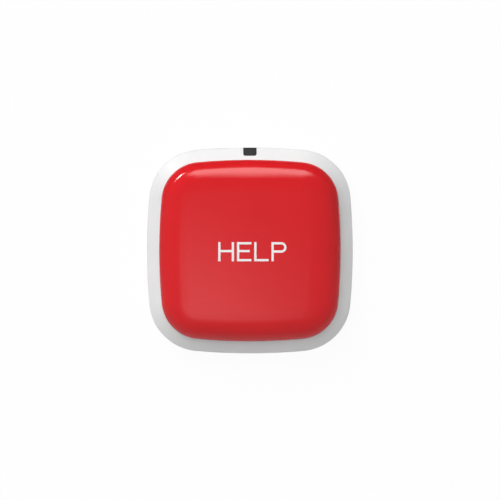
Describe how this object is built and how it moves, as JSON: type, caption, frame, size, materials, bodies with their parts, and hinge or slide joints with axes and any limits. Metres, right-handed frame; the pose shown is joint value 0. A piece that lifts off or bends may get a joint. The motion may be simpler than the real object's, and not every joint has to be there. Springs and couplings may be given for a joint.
{
  "type": "wireless panic button",
  "caption": "Square pendant with rounded corners, a domed push button, an indicator window in the sloping rim and a twist-off battery door.",
  "frame": {"origin": "centre of the back face, on which the pendant lies", "axes": "+Z out of the button, +Y towards the indicator window, +X to the right as seen from the front"},
  "size_m": [0.04, 0.04, 0.0145],
  "materials": {
    "case_white": "satin moulded plastic",
    "door_white": "satin moulded plastic",
    "button_red": "polished moulded plastic",
    "window_smoke": "smoked translucent plastic",
    "seal_silicone": "soft silicone",
    "gasket_rubber": "soft rubber",
    "screw_steel": "plated",
    "cell_steel": "brushed",
    "contact_nickel": "nickel plated sheet",
    "board_green": "solder mask on glass laminate",
    "switch_black": "moulded",
    "lamp_white": "clear resin over white",
    "shield_tin": "tinned sheet",
    "chip_black": "moulded epoxy",
    "antenna_brass": "gilded wire",
    "capacitor_tan": "fired ceramic"
  },
  "bodies": {
    "case": {"front_case": "case_white", "rear_cover": "case_white", "indicator_window": "window_smoke", "button_seal": "seal_silicone", "case_gasket": "gasket_rubber", "case_screws": "screw_steel", "battery_cell": "cell_steel", "negative_contact": "contact_nickel", "positive_contact": "contact_nickel", "circuit_board": "board_green", "switch_base": "switch_black", "switch_cover": "contact_nickel", "switch_dome": "contact_nickel", "switch_terminals": "contact_nickel", "indicator_led": "lamp_white", "radio_shield": "shield_tin", "radio_chip": "chip_black", "radio_crystal": "shield_tin", "antenna": "antenna_brass", "chip_capacitors": "capacitor_tan", "chip_resistors": "chip_black"},
    "button": {"button_cap": "button_red"},
    "stem": {"switch_stem": "switch_black"},
    "door": {"battery_door": "door_white", "door_seal": "gasket_rubber"}
  },
  "joints": [
    {"name": "button_press", "type": "slide", "parent": "case", "child": "button", "axis": [0, 0, -1], "range_m": [0, 0.0005], "stiffness_N_per_m": 3000, "springref_m": -0.0002, "deforming": ["button_seal"]},
    {"name": "stem_press", "type": "slide", "parent": "case", "child": "stem", "axis": [0, 0, -1], "range_m": [0, 0.0005], "deforming": ["switch_dome"]},
    {"name": "door_twist", "type": "hinge", "parent": "case", "child": "door", "pos_m": [0, 0, 0], "axis": [0, 0, -1], "range_deg": [0, 30]}
  ],
  "couplings": [
    {"joint": "stem_press", "follows": "button_press", "ratio": 1}
  ]
}
